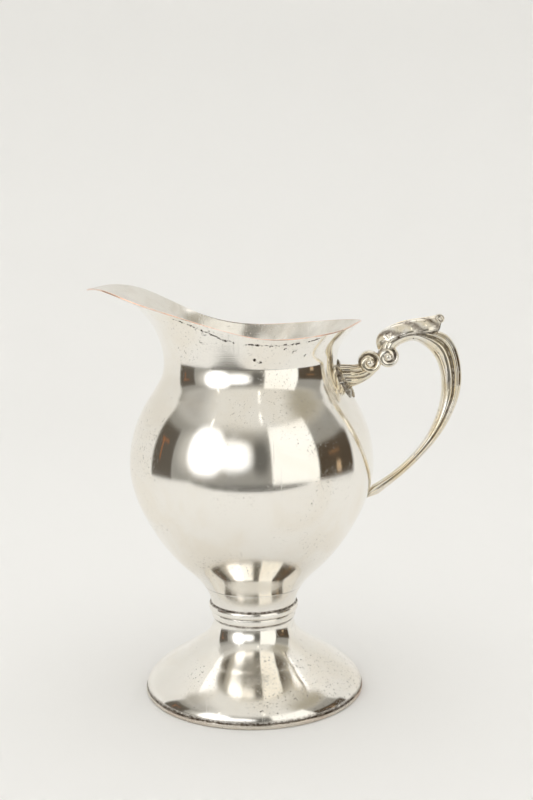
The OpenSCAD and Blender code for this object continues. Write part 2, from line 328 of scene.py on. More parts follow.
def body_grid():
    """The whole skin as rows of points: up the outside, over the rounded lip, down the inside. With
    it comes the number of rows outside."""
    outside, dish_rows = body_outside()
    # the inside lies the sheet's thickness further in, and skips the dish's outer corner
    low, high = dish_rows - 1, dish_rows + 3
    inside = outside - WALL * grid_normals(outside)
    inside[:low] = outside[:low] + [0, 0, WALL]
    inside = np.vstack([inside[:low], inside[high:]])
    hand_finish(outside)
    hand_finish(inside)

    up = outside[-1] - outside[-2]
    up /= np.linalg.norm(up, axis=1, keepdims=True)
    outside[-1] -= LIP_SET_BACK * up
    inside[-1] -= LIP_SET_BACK * up
    middle, half = (outside[-1] + inside[-1]) / 2, (outside[-1] - inside[-1]) / 2
    turns = math.pi * np.arange(1, LIP_ROWS + 1) / (LIP_ROWS + 1)
    lip = np.array([middle + half * math.cos(a) + up * LIP_ROUND * math.sin(a) for a in turns])
    grid = np.vstack([outside, lip, inside[::-1]])
    grid[..., 2] -= LIP_SETTLE * np.clip((grid[..., 2] - LIP_SETTLE_Z) / LIP_SETTLE_RISE, 0, 1)
    return grid, len(outside)


def build_body():
    """Bulb, neck and mouth, one sheet, with values for what shows on the inside, lip and crack."""
    grid, outside_rows = body_grid()
    rows = len(grid)
    faces = grid_faces(rows, COLS)
    dish_z = SEAM_Z - DISH_DROP
    verts = np.vstack([grid.reshape(-1, 3), [[0, 0, dish_z]], [[0, 0, dish_z + WALL]]])
    bottom, floor = len(verts) - 2, len(verts) - 1
    last = (rows - 1) * COLS
    for j in range(COLS):
        k = (j + 1) % COLS
        faces.append((bottom, k, j))
        faces.append((floor, last + j, last + k))

    inner = np.zeros((rows, COLS))
    inner[outside_rows + LIP_ROWS :] = 1
    edge = np.zeros((rows, COLS))
    edge[outside_rows - 1 : outside_rows + LIP_ROWS + 1] = 1
    mark = np.zeros(len(verts))
    near = (verts[:, 1] < -20) & (verts[:, 2] > NECK_Z - 12)
    for at, size in crack_marks():
        reach = np.linalg.norm(verts[near] - at, axis=1) / size
        mark[near] = np.maximum(mark[near], np.exp(-reach**2))
    attributes = {
        "inner": [*inner.ravel(), 0, 1],
        "edge": [*edge.ravel(), 0, 0],
        "mark": mark,
        "crevice": smooth(SEAM_Z + 0.6 - verts[:, 2], 0, 1) * 0.3,
    }
    return make_piece("body_shell_sheet", "body_shell", verts, faces, attributes)


# ---- stem, beads and foot -------------------------------------------------------------------------


def turned_piece(name, node, profile, crevice, dents=0):
    """A closed section turned about the axis. Crevice says how sheltered each of its points is."""
    verts, faces = revolve(profile, COLS, closed=True)
    p = np.asarray(profile, float)
    push = np.array([hand_wobble(v, 21, 0.03, 5.3) + hand_wobble(v, 8, 0.004, 2.1) for v in verts])
    rng = np.random.default_rng(11)
    for _ in range(dents):
        at = verts[rng.integers(len(verts))]
        push += 0.022 * np.exp(-(np.linalg.norm(verts - at, axis=1) / rng.uniform(1.2, 3.5)) ** 2)
    flat = np.hypot(verts[:, 0], verts[:, 1])
    verts[:, :2] *= ((flat - push) / flat)[:, None]
    attributes = {"crevice": np.repeat([crevice(r, z) for r, z in p], COLS)}
    return make_piece(name, node, verts, faces, attributes)


def sheet_section(outside, thickness):
    """The closed section of sheet with the given outside, which runs upwards."""
    p = np.asarray(outside, float)
    d = np.gradient(p, axis=0)
    d /= np.linalg.norm(d, axis=1, keepdims=True)
    inside = p + thickness * np.column_stack([-d[:, 1], d[:, 0]])
    return np.vstack([p, inside[::-1]])


def build_stem_collar():
    """Sleeve from the bead ring up to the bulb."""
    outside = np.array([p for p in BULB if p[1] < SEAM_Z - 0.4])
    outside = np.vstack([[[STEM_R, RING_Z + BEAD_H], [STEM_R, RING_TOP - 0.3]], outside])
    outside = resample(np.vstack([outside, [[bulb_r(SEAM_Z), SEAM_Z]]]), 0.35)
    # solder left slightly proud along the joint with the bulb
    outside[:, 0] += 0.03 * bump_at(outside[:, 1], SEAM_Z - 0.5, 0.4)
    inside = outside - [FOOT_WALL, 0]
    profile = np.vstack([outside, inside[::-1]])
    return turned_piece(
        "stem_collar_sleeve", "stem_collar", profile,
        lambda r, z: float(bump_at(z, SEAM_Z, 0.35) * 0.35 + bump_at(z, RING_TOP, 1.1)),
    )


def build_bead(name, node, z, inner, face, outer):
    """Half-round ring soldered round a tube, with its two tight corners left dark."""
    side = []
    for a in np.radians(np.linspace(-90, 90, 33)):
        reach = abs(math.cos(a)) ** 0.85
        side.append([face + (outer - face) * reach, z + BEAD_H / 2 * (1 + math.sin(a))])
    profile = np.vstack([[[inner, z]], side, [[inner, z + BEAD_H]]])
    return turned_piece(
        name, node, profile,
        lambda r, h: float(max(bump_at(h, z, 0.55), bump_at(h, z + BEAD_H, 0.55))),
    )


def build_foot_shell():
    """Trumpet foot of thin sheet, with a few small dents."""
    start, turn = np.array([FOOT_TOP_R, RING_Z]), FOOT_TURN
    outside = np.vstack([
        [[FOOT_TOP_R, RING_Z + BEAD_H], start],
        bezier(start, [FOOT_TOP_R, RING_Z - 11.9], turn + [-6.4, 4.5], turn, 60),
        bezier(turn, turn + [6.3, -4.4], [FOOT_R - 0.4, 10], [FOOT_R - 0.5, FOOT_EDGE_H], 60),
    ])
    outside = resample(outside, 0.6)[::-1]
    profile = sheet_section(outside, FOOT_WALL)
    profile[:, 1] = np.maximum(profile[:, 1], FOOT_EDGE_H - 0.2)

    def sheltered(r, z):
        corners = bump_at(z, RING_Z, 1.6) + 0.8 * bump_at(z, FOOT_EDGE_H, 2.0)
        return float(corners + 0.05 * bump_at(z, 12, 8))

    return turned_piece("foot_shell_trumpet", "foot_shell", profile, sheltered, dents=14)


def build_foot_rim():
    """Rolled edge that the pitcher stands on."""
    r, inner = 1.1, FOOT_R - FOOT_EDGE_W
    corners = [(FOOT_R - r, FOOT_EDGE_H - r, 90), (FOOT_R - r, r, 0)]
    profile = [[inner, 0.4], [inner, FOOT_EDGE_H]]
    for cx, cz, start in corners:
        for a in np.radians(np.linspace(start, start - 90, 9)):
            profile.append([cx + r * math.cos(a), cz + r * math.sin(a)])
    profile += [[inner + 0.4, 0.0]]
    return turned_piece(
        "foot_rim_wire_roll", "foot_rim_wire", resample(profile, 0.25),
        lambda r, z: float(bump_at(z, FOOT_EDGE_H, 0.5) * smooth(r, 64, 66) + 0.35),
    )


# ---- handle ---------------------------------------------------------------------------------------

# the design's bars and scrolls: x, height, thickness and width at each control point, then the
# middle and the radius of each rolled-up end
GRIP = [
    (81.4, 205.5, 10, 9.6), (81.2, 214.3, 9.6, 10), (96, 219.7, 8.4, 10.4), (103, 217, 9, 10.6),
    (112.7, 213, 14.9, 12), (117.4, 205.5, 13.5, 12.6), (121.2, 187.6, 12, 12.5),
    (114, 162.8, 7.2, 11), (97.5, 141.5, 4.6, 8.3), (82, 129, 5.2, 8), (74.6, 124, 6.5, 7.8),
]
LEAF = [
    (77.6, 209.5, 3.4, 7), (76.2, 215, 4.6, 10), (80.8, 220.2, 4.4, 12.5), (90.5, 224, 4.2, 13.5),
    (98.5, 225.1, 4.4, 13.6), (105, 225.4, 5.6, 13), (110, 226.4, 5.2, 10.5), (112.9, 227.8, 3.6, 8),
]
ARM = [(60, 193.6, 13.6, 13), (63, 194.2, 12.2, 12), (68, 196.2, 11, 11.5), (72.5, 200, 9.5, 11)]
ARM_EYE, ARM_SCROLL_R = (70.9, 201.8), 6.8
GRIP_EYE, GRIP_SCROLL_R = (81.8, 205.0), 6.3
CURL_EYE, CURL_R = (112.0, 227.2), 2.75
LANDING_STEPS = np.arange(1, 9) / 8       # how far along the grip's landing on the bulb each ring is
# leaves on the neck: three points of the spine as side offset and height, half width, thickness, teeth
MIDDLE_LEAVES = [
    ([(0, 191.5), (0, 197), (0.4, 203.4)], 4.8, 2.4, 3),
    ([(0, 193), (0, 187), (0, 180.4)], 3.4, 2.5, 4),
]
SIDE_LEAVES = [
    ([(0.8, 193), (4.5, 195), (10.5, 200.6)], 3.1, 1.9, 3),
    ([(1.0, 193), (7, 194), (14.2, 191)], 4.0, 2.3, 3),
    ([(0.8, 194), (7, 189.5), (13.5, 182.5)], 4.6, 2.6, 4),
]


def station(ctrl, t):
    """Place, outward direction, thickness and width of a cast bar at t."""
    e = 0.004
    here, back, on = (open_spline(ctrl, v) for v in (t, max(t - e, 0), min(t + e, 1)))
    d = (on - back)[:2]
    d /= np.linalg.norm(d)
    return here[:2], np.array([-d[1], d[0]]), here[2], here[3]


def bar_mesh(ctrl, rows, section):
    """Rings of a bar. The section gives offsets out of the curve and to the side, and how sheltered
    each point is. The rings are returned as a grid of points."""
    grid, shelter = [], []
    for t in np.linspace(0, 1, rows):
        p, n, thick, wide = station(ctrl, t)
        s, y, c = section(t, thick, wide)
        grid.append(np.column_stack([p[0] + n[0] * s, y, p[1] + n[1] * s]))
        shelter.append(c)
    return np.array(grid), np.array(shelter)


def capped(grid, shelter):
    """A closed mesh from rings: vertices, faces and shelter."""
    rows, cols = grid.shape[:2]
    verts = grid.reshape(-1, 3)
    faces = grid_faces(rows, cols)
    first, last = len(verts), len(verts) + 1
    verts = np.vstack([verts, [grid[0].mean(axis=0)], [grid[-1].mean(axis=0)]])
    base = (rows - 1) * cols
    for j in range(cols):
        k = (j + 1) % cols
        faces.append((first, k, j))
        faces.append((last, base + j, base + k))
    return verts, faces, np.concatenate([shelter.ravel(), [0, 0]])


def joined(parts):
    """One mesh from several closed ones."""
    verts, faces, shelter, base = [], [], [], 0
    for v, f, c in parts:
        verts.append(v)
        faces += [tuple(base + k for k in face) for face in f]
        shelter.append(c)
        base += len(v)
    return np.vstack(verts), faces, np.concatenate(shelter)


def scroll_face(radius, half, winds, start, relief, bead, r, angle):
    """Height of a scroll's face at radius r, and how sheltered it is: a spiral roll round a bead."""
    if r < bead:
        dome = math.sqrt(1 - (r / bead) ** 2)
        return np.full(len(angle), half + 0.15 * relief + 0.8 * bead * dome - 0.25), 0 * angle
    phase = ((radius - r) / (radius - bead * 0.8) * winds + (angle - start) / (2 * math.pi)) % 1.0
    roll = np.sqrt(np.maximum(0, 1 - (2 * phase - 1) ** 2))
    rim = math.sqrt(max(0.0, 1 - max(0.0, (r / radius - 0.72) / 0.28) ** 2.4))
    return (half - relief + relief * roll) * (0.62 + 0.38 * rim), 1 - roll**2


def scroll(eye, radius, width, winds, start, relief, bead):
    """A rolled-up end: a thick disc whose two faces carry a spiral roll round a bead."""
    angle = np.linspace(0, 2 * math.pi, 96, endpoint=False)
    rows, shelter = [], []
    for k in range(31):
        r = radius * (0.03 + 0.97 * k / 30)
        y, c = scroll_face(radius, width / 2, winds, start, relief, bead, r, angle)
        rows.append(np.column_stack([eye[0] + r * np.cos(angle), y, eye[1] + r * np.sin(angle)]))
        shelter.append(c)
    far = [row * [1, -1, 1] for row in rows]
    verts, faces, c = capped(np.array(far + rows[::-1]), np.array(shelter + shelter[::-1]))
    return verts, [face[::-1] for face in faces], c


def on_bulb(y, z, t):
    """Point of the bulb's outside at side offset y and height z, moved out by t."""
    return np.array([math.sqrt(max((bulb_r(min(z, NECK_Z)) + t) ** 2 - y * y, 0)), y, z])


def grip_section(t, thick, wide):
    """A round inner rod and a back strap with a raised edge, parted by a deep groove."""
    a = np.linspace(0, 2 * math.pi, 96, endpoint=False)
    q = np.cos(a)
    # where across the section the groove lies, and how deep it is, along the bar
    split = np.interp(t, [0, 0.35, 0.5, 0.62, 0.8, 1.0], [0.1, 0.24, 0.2, 0.14, -0.16, -0.1])
    deep = np.interp(t, [0, 0.1, 0.3, 0.6, 0.95, 1.0], [0.0, 0.15, 0.32, 0.36, 0.34, 0.15])
    main = bump_at(q, split, 0.17)
    back = bump_at(q, split + 0.52, 0.11) * smooth(t, 0.3, 0.42) * (1 - smooth(t, 0.8, 0.95))
    swell = np.where(q < split, 1.0, 1.04 - 0.10 * (q - split))
    s = 0.996 * thick / 2 * q        # a hair thinner than the design's bar, to stay inside its box
    y = wide / 2 * np.sin(a) * swell * (1 - deep * main - 0.13 * back)
    pits = [hand_wobble((p, v, 40 * t), 1.6, 0.12, 9.1) for p, v in zip(s, y)]
    y = y - np.sign(y) * np.array(pits) * 0.6
    dark = 1.1 * bump_at(q, split, 0.085) * deep / 0.33 + 0.6 * bump_at(q, split + 0.52, 0.06)
    return s, y, np.clip(dark, 0, 1)


def grip_landing(ring):
    """Rings that carry the grip's last ring down onto the bulb, a little spread."""
    way = (open_spline(GRIP, 1.0) - open_spline(GRIP, 0.985))[:2]
    drop = 5 * way[1] / np.linalg.norm(way)
    rings = []
    for f in LANDING_STEPS:
        row = []
        for p in ring:
            spread = 0.5 * np.sign(p[1]) * f * f if abs(p[1]) > 2 else 0
            row.append(p * (1 - f) + on_bulb(p[1], p[2] + drop, -0.05) * f + [0, spread, 0])
        rings.append(row)
    return np.array(rings)


def build_grip():
    """Main scroll of the handle, from its rolled head down to where it lands on the bulb."""
    grid, shelter = bar_mesh(GRIP, 300, grip_section)
    grid = np.vstack([grid, grip_landing(grid[-1])])
    shelter = np.vstack([shelter, [shelter[-1] + 0.6 * f**3 for f in LANDING_STEPS]])
    head = scroll(GRIP_EYE, GRIP_SCROLL_R, 11.6, 0.78, math.radians(150), relief=2.0, bead=2.3)
    verts, faces, c = joined([capped(grid, shelter), head])
    return make_piece("handle_grip_scroll", "handle_grip", verts, faces, {"crevice": c})


def arm_section(t, thick, wide):
    """A bar fluted lengthwise between rounded ridges."""
    a = np.linspace(0, 2 * math.pi, 120, endpoint=False)
    ridges = np.abs(np.cos(4.5 * (a + 0.5 * t))) ** 0.8
    cut = 0.80 + 0.20 * ridges
    return thick / 2 * np.cos(a) * (0.92 + 0.08 * ridges), wide / 2 * np.sin(a) * cut, 0.9 * (1 - ridges)


def build_arm():
    """Short fluted arm that grows out of the neck, with its scroll."""
    grid, shelter = bar_mesh(ARM, 70, arm_section)
    root_z = ARM[0][1]
    root = np.array([on_bulb(p[1] * 1.06, root_z + (p[2] - root_z) * 1.05, 0.6) for p in grid[0]])
    lead = [root * (1 - f) + grid[0] * f for f in (0, 0.2, 0.4, 0.6, 0.8)]
    grid = np.vstack([lead, grid])
    shelter = np.vstack([[shelter[0]] * len(lead), shelter])
    end = scroll(ARM_EYE, ARM_SCROLL_R, 12.6, 0.8, math.radians(215), relief=2.4, bead=2.6)
    verts, faces, c = joined([capped(grid, shelter), end])
    return make_piece("handle_arm_fluted", "handle_arm", verts, faces, {"crevice": c})


def blade(spine, half_width, thick, teeth):
    """A pointed leaf lying on the neck along a line of side offsets and heights."""
    rows, across = 44, 25
    spine = np.asarray(spine, float)
    qs = np.linspace(-1, 1, across)
    grid, shelter = [], []
    for i in range(rows):
        t = i / (rows - 1)
        p = spine[0] * (1 - t) ** 2 + 2 * spine[1] * t * (1 - t) + spine[2] * t * t
        d = 2 * (1 - t) * (spine[1] - spine[0]) + 2 * t * (spine[2] - spine[1])
        d /= np.linalg.norm(d)
        n = np.array([d[1], -d[0]])
        swell = math.sin(math.pi * (0.12 + 0.86 * t)) ** 0.75
        w = half_width * swell * (1 - 0.16 * abs(math.sin(teeth * math.pi * t)) * smooth(t, 0.1, 0.3))
        top, low, c = [], [], []
        for q in qs:
            at = p + n * q * w
            rib = 0.34 * math.exp(-((q / 0.13) ** 2))
            vein = 0.16 * (0.5 + 0.5 * math.cos(2 * math.pi * (teeth * 1.5 * t - 1.1 * abs(q)))) * (1 - q * q)
            lift = 0.12 + thick * swell * (1 - abs(q) ** 2.2) ** 0.6 + (rib + vein) * swell
            top.append(on_bulb(at[0], at[1], lift))
            low.append(on_bulb(at[0], at[1], -0.1))
            c.append(max(0.0, 1 - 5 * vein - 2.2 * rib) * 0.6 + 0.4 * abs(q) ** 4)
        grid.append(top + low[::-1])
        shelter.append(c + [0.9] * across)
    return capped(np.array(grid), np.array(shelter))


def build_leaf_plate():
    """Spray of leaves on the neck round the root of the arm."""
    parts = [blade(*leaf) for leaf in MIDDLE_LEAVES]
    for spine, half_width, thick, teeth in SIDE_LEAVES:
        for side in (1, -1):
            parts.append(blade([(side * y, z) for y, z in spine], half_width, thick, teeth))
    verts, faces, c = joined(parts)
    return make_piece("neck_leaf_spray", "neck_leaf_plate", verts, faces, {"crevice": c})


def leaf_cap_section(t, thick, wide):
    """A leaf over the grip: midrib, side veins, scalloped edges that droop over the bar."""
    across = 49
    qs = np.linspace(-1, 1, across)
    lobe = np.abs(np.sin(math.pi * (3.0 * t + 0.25))) ** 0.6
    reach = wide / 2 * (0.84 + 0.10 * lobe)
    half = thick / 2 * (1 - 0.8 * qs**2)
    end = 1 - smooth(t, 0.82, 0.98)
    droop = (1.2 + 3.6 * end) * np.abs(qs) ** 2.6
    rib = 0.45 * bump_at(qs, 0, 0.10)
    wave = 0.5 + 0.5 * np.cos(2 * math.pi * (4.0 * t - 0.9 * np.abs(qs)))
    veins = 0.16 * wave * smooth(np.abs(qs), 0.1, 0.3)
    top = half - droop - 0.35 + rib + veins * (1 - smooth(t, 0.9, 1.0))
    low = -half - 1.4 * end - droop
    s = np.concatenate([top, low[::-1]])
    y = np.concatenate([reach * qs, reach * qs[::-1]])
    valley = 0.75 * (1 - wave) * smooth(np.abs(qs), 0.1, 0.3) + 0.5 * bump_at(np.abs(qs), 0.2, 0.08)
    return s, y, np.concatenate([np.clip(valley, 0, 1), np.full(across, 0.8)])


def build_thumb_leaf():
    """Leaf cap over the head of the grip, ending in a small curl."""
    grid, shelter = bar_mesh(LEAF, 150, leaf_cap_section)
    curl = scroll(CURL_EYE, CURL_R, 8.4, 1.1, math.radians(200), relief=0.4, bead=0.9)
    verts, faces, c = joined([capped(grid, shelter), curl])
    return make_piece("thumb_leaf_cap", "thumb_leaf", verts, faces, {"crevice": c})


# ---- materials ------------------------------------------------------------------------------------


class Nodes:
    """Short calls for building a node material."""

    def __init__(self, name):
        self.material = bpy.data.materials.new(name)
        self.material.use_nodes = True
        self.tree = self.material.node_tree
        self.shader = self.tree.nodes["Principled BSDF"]

    def add(self, kind, **settings):
        node = self.tree.nodes.new(kind)
        for key, value in settings.items():
            setattr(node, key, value)
        return node

    def link(self, a, b):
        self.tree.links.new(a, b)

    def feed(self, socket, value):
        if hasattr(value, "is_linked"):
            self.link(value, socket)
        else:
            socket.default_value = value

    def place(self, stretch=(1, 1, 1), turn=(0, 0, 0)):
        """Object coordinates, stretched and turned."""
        coords = self.add("ShaderNodeTexCoord")
        mapping = self.add("ShaderNodeMapping")
        mapping.inputs["Scale"].default_value = stretch
        mapping.inputs["Rotation"].default_value = turn
        self.link(coords.outputs["Object"], mapping.inputs["Vector"])
        return mapping.outputs["Vector"]

    def noise(self, scale, detail=3.0, rough=0.55, stretch=(1, 1, 1), turn=(0, 0, 0), warp=0.0):
        node = self.add("ShaderNodeTexNoise")
        self.link(self.place(stretch, turn), node.inputs["Vector"])
        node.inputs["Scale"].default_value = scale
        node.inputs["Detail"].default_value = detail
        node.inputs["Roughness"].default_value = rough
        node.inputs["Distortion"].default_value = warp
        return node.outputs["Fac"]

    def ranged(self, value, a, b, to_a=0.0, to_b=1.0):
        node = self.add("ShaderNodeMapRange", interpolation_type="SMOOTHSTEP")
        self.link(value, node.inputs["Value"])
        for key, v in (("From Min", a), ("From Max", b), ("To Min", to_a), ("To Max", to_b)):
            node.inputs[key].default_value = v
        return node.outputs["Result"]

    def math(self, operation, a, b=0.0, clamp=False):
        node = self.add("ShaderNodeMath", operation=operation, use_clamp=clamp)
        self.feed(node.inputs[0], a)
        self.feed(node.inputs[1], b)
        return node.outputs[0]

    def attribute(self, name):
        return self.add("ShaderNodeAttribute", attribute_name=name).outputs["Fac"]

    def mix(self, factor, a, b):
        node = self.add("ShaderNodeMix", data_type="RGBA")
        self.feed(node.inputs["Factor"], factor)
        self.feed(node.inputs[6], a)
        self.feed(node.inputs[7], b)
        return node.outputs[2]

    def bump(self, height, distance, strength=1.0, below=None):
        node = self.add("ShaderNodeBump")
        node.inputs["Strength"].default_value = strength
        node.inputs["Distance"].default_value = distance
        self.link(height, node.inputs["Height"])
        if below is not None:
            self.link(below, node.inputs["Normal"])
        return node.outputs["Normal"]


PALE = (0.925, 0.90, 0.85, 1)
WARM = (0.89, 0.845, 0.765, 1)
BROWN = (0.10, 0.068, 0.042, 1)
BLACK = (0.06, 0.047, 0.034, 1)
COPPER = (0.86, 0.53, 0.40, 1)
BRASS = (0.80, 0.70, 0.50, 1)


def silver(name, pale=PALE, warm=WARM, gloss=0.075, age=0.5, turned=True, cast=False, sheltered=1.0,
           smear=0.000008):
    """Polished silver: patches of tone, smudges, polishing marks, hairline scratches, tarnish in the
    sheltered places and black specks."""
    n = Nodes(name)
    shader = n.shader
    shader.inputs["Metallic"].default_value = 1.0
    tone = n.ranged(n.noise(22, 4, 0.6, warp=0.6), 0.38, 0.66)
    colour = n.mix(tone, pale, warm)

    smudge = n.ranged(n.noise(46, 5, 0.65, warp=1.4), 0.45, 0.72)
    wiped = n.ranged(n.noise(120, 4, 0.7, stretch=(1, 1, 5)), 0.4, 0.8)
    rough = n.math("ADD", n.math("MULTIPLY", smudge, 0.035), gloss)
    rough = n.math("ADD", rough, n.math("MULTIPLY", wiped, 0.03))

    # tarnish: a veil where the surface is sheltered, broken up by noise, and scattered specks
    shelter = n.attribute("crevice")
    broken = n.noise(420, 5, 0.7)
    deep = n.ranged(shelter, 0.22, 0.85)
    veil = n.math("MULTIPLY", deep, n.ranged(broken, 0.30, 0.66, 0.25, 1.0))
    veil = n.math("MULTIPLY", veil, sheltered, clamp=True)
    if cast:
        # a yellow film in patches over the bars
        film = n.ranged(n.noise(75, 3, 0.6), 0.40, 0.62)
        colour = n.mix(n.math("MULTIPLY", film, 0.55), colour, BRASS)
    specks = n.ranged(n.noise(680, 5, 0.75), 0.59, 0.64)
    where = n.ranged(n.noise(24, 6, 0.7), 0.46, 0.60, 0.0, age)
    specks = n.math("MULTIPLY", specks, n.math("ADD", where, n.math("MULTIPLY", shelter, 0.8)), clamp=True)
    colour = n.mix(veil, colour, BROWN)
    colour = n.mix(specks, colour, BLACK)
    rough = n.math("ADD", rough, n.math("MULTIPLY", veil, 0.30))
    rough = n.math("ADD", rough, n.math("MULTIPLY", specks, 0.35))

    # hairline scratches in two directions
    lines = []
    for turn, stretch in (((0.5, 0.9, 0.3), (14, 1200, 14)), ((2.1, 0.2, 1.4), (1200, 10, 18))):
        line = n.ranged(n.noise(1, 2, 0.5, stretch=stretch, turn=turn), 0.66, 0.72)
        patch = n.ranged(n.noise(30, 2, 0.5, turn=turn), 0.5, 0.62)
        lines.append(n.math("MULTIPLY", line, patch))
    scratch = n.math("ADD", lines[0], lines[1], clamp=True)
    rough = n.math("ADD", rough, n.math("MULTIPLY", scratch, 0.12))
    normal = n.bump(n.math("SUBTRACT", 1.0, scratch), 0.00002, 0.35)
    if turned:
        # polishing marks that run round the axis
        marks = n.noise(1, 4, 0.75, stretch=(14, 14, 2400))
        normal = n.bump(marks, smear, 1.0, below=normal)
        shader.inputs["Anisotropic"].default_value = 0.9
        shader.inputs["Anisotropic Rotation"].default_value = 0.25
        tangent = n.add("ShaderNodeTangent", direction_type="RADIAL", axis="Z")
        n.link(tangent.outputs[0], shader.inputs["Tangent"])
    if cast:
        normal = n.bump(n.noise(210, 3, 0.5), 0.00008, 0.35, below=normal)
        holes = n.ranged(n.noise(700, 2), 0.66, 0.74)
        normal = n.bump(n.math("SUBTRACT", 1.0, holes), 0.00008, 0.6, below=normal)
    normal = n.bump(n.math("SUBTRACT", 1.0, specks), 0.00003, 0.6, below=normal)
    n.link(normal, shader.inputs["Normal"])
    return n, colour, rough


def finished(n, colour, rough):
    """The material with its colour and roughness joined up."""
    n.link(colour, n.shader.inputs["Base Color"])
    n.link(rough, n.shader.inputs["Roughness"])
    return n.material


def body_silver():
    """The body's silver, with its unpolished inside, the copper that shows at the worn lip, and the
    old crack below the near lip."""
    n, colour, rough = silver("silver_sheet_body", age=0.7)
    inner = n.attribute("inner")
    stain = n.ranged(n.noise(60, 4, 0.6, warp=0.8), 0.4, 0.75)
    dull = n.mix(stain, (0.84, 0.81, 0.75, 1), (0.70, 0.655, 0.58, 1))
    colour = n.mix(n.math("MULTIPLY", inner, 0.8), colour, dull)
    rough = n.math("ADD", rough, n.math("MULTIPLY", inner, 0.14))
    worn = n.math("MULTIPLY", n.attribute("edge"), n.ranged(n.noise(90, 3), 0.32, 0.55, 0.35, 1.0))
    colour = n.mix(n.math("MULTIPLY", worn, 0.75), colour, COPPER)
    mark = n.attribute("mark")
    ragged = n.ranged(n.math("ADD", mark, n.math("MULTIPLY", n.noise(900, 5, 0.75), 2.4)), 1.80, 1.98)
    ragged = n.math("MULTIPLY", ragged, n.ranged(mark, 0.05, 0.3), clamp=True)
    colour = n.mix(ragged, colour, BLACK)
    rough = n.math("ADD", rough, n.math("MULTIPLY", ragged, 0.4))
    return finished(n, colour, rough)


def plain_silver(name, **settings):
    """Silver with nothing added."""
    return finished(*silver(name, **settings))


def build_materials():
    """One material for each kind of surface."""
    return {
        "body": body_silver(),
        "turned": plain_silver("silver_sheet_stem", gloss=0.17, age=0.9, smear=0.00002),
        "foot": plain_silver("silver_sheet_foot", gloss=0.09, age=1.0, smear=0.00001),
        "edge": plain_silver(
            "worn_edge_roll", pale=(0.80, 0.75, 0.67, 1), warm=(0.66, 0.50, 0.39, 1),
            gloss=0.16, age=1.0, sheltered=1.1,
        ),
        "cast": plain_silver(
            "silver_casting_handle", pale=(0.86, 0.83, 0.77, 1), warm=(0.76, 0.69, 0.57, 1),
            gloss=0.05, age=0.9, turned=False, cast=True,
        ),
        "dark": plain_silver(
            "dark_casting_leaves", pale=(0.62, 0.60, 0.56, 1), warm=(0.48, 0.45, 0.41, 1),
            gloss=0.20, age=0.8, turned=False, cast=True,
        ),
    }


# ---- studio ---------------------------------------------------------------------------------------

CENTRE = Vector((0, 0, 0.14))
VIEW_TURN = math.radians(3)       # the camera and the room stand turned by this much


def toward(azimuth, elevation):
    """Unit vector into the room. Azimuth 0 is the camera's side, and positive is to the right."""
    a, e = math.radians(azimuth), math.radians(elevation)
    v = Vector((math.sin(a) * math.cos(e), -math.cos(a) * math.cos(e), math.sin(e)))
    return Matrix.Rotation(VIEW_TURN, 3, "Z") @ v


def stage_mesh(name, verts, faces, material, attributes):
    """A part of the studio, in metres."""
    obj = make_object(name, verts, faces, attributes)
    obj.data.materials.append(material)
    return obj


def cove_material():
    """Matt, faintly warm white paper."""
    n = Nodes("paper")
    n.shader.inputs["Base Color"].default_value = (0.875, 0.87, 0.855, 1)
    n.shader.inputs["Roughness"].default_value = 0.9
    n.shader.inputs["Specular IOR Level"].default_value = 0.1
    return n.material


def build_cove():
    """Round paper sweep: a flat floor that curves up into a wall all round."""
    flat, bend, top = 1.0, 0.7, 2.4
    profile = [(0.0001, 0), (0.3, 0), (0.6, 0), (flat, 0)]
    for k in range(1, 17):
        a = math.pi / 2 * k / 16
        profile.append((flat + bend * math.sin(a), bend * (1 - math.cos(a))))
    profile.append((flat + bend, top))
    verts, faces = revolve(profile, 96, closed=False)
    return stage_mesh("paper_sweep", verts, faces, cove_material(), {})


def glow(name, colour, strength=1.0):
    """Light of one colour, thinned out by the mesh's cover."""
    material = bpy.data.materials.new(name)
    material.use_nodes = True
    tree = material.node_tree
    tree.nodes.clear()
    out = tree.nodes.new("ShaderNodeOutputMaterial")
    emission = tree.nodes.new("ShaderNodeEmission")
    emission.inputs["Color"].default_value = (*colour, 1)
    emission.inputs["Strength"].default_value = strength
    clear = tree.nodes.new("ShaderNodeBsdfTransparent")
    blend = tree.nodes.new("ShaderNodeMixShader")
    cover = tree.nodes.new("ShaderNodeAttribute")
    cover.attribute_name = "cover"
    tree.links.new(cover.outputs["Fac"], blend.inputs["Fac"])
    tree.links.new(clear.outputs[0], blend.inputs[1])
    tree.links.new(emission.outputs[0], blend.inputs[2])
    tree.links.new(blend.outputs[0], out.inputs[0])
    return material


def reflected_patch(name, verts, cover, colour, strength=1.0):
    """A glowing square patch that only shows in reflections, from its rows of vertices."""
    cells = math.isqrt(len(verts)) - 1
    material = glow(name + "_glow", colour, strength)
    obj = stage_mesh(name, verts, patch_faces(cells), material, {"cover": cover})
    obj.visible_camera = False
    obj.visible_diffuse = False
    obj.visible_shadow = False
    obj.visible_transmission = False
    obj.visible_volume_scatter = False


def card_cover(u, v, size, soft, blob):
    """How much of a card there is at u, v from 0 to 1 across and up."""
    if blob:
        out = (abs(2 * u - 1) ** 2.6 + abs(2 * v - 1) ** 2.6) ** (1 / 2.6)
        return 1 - float(smooth(out, 1 - blob, 1))
    edges = (u * size[0], (1 - u) * size[0], v * size[1], (1 - v) * size[1])
    return math.prod(float(smooth(d, 0, s)) for d, s in zip(edges, soft) if s > 0)


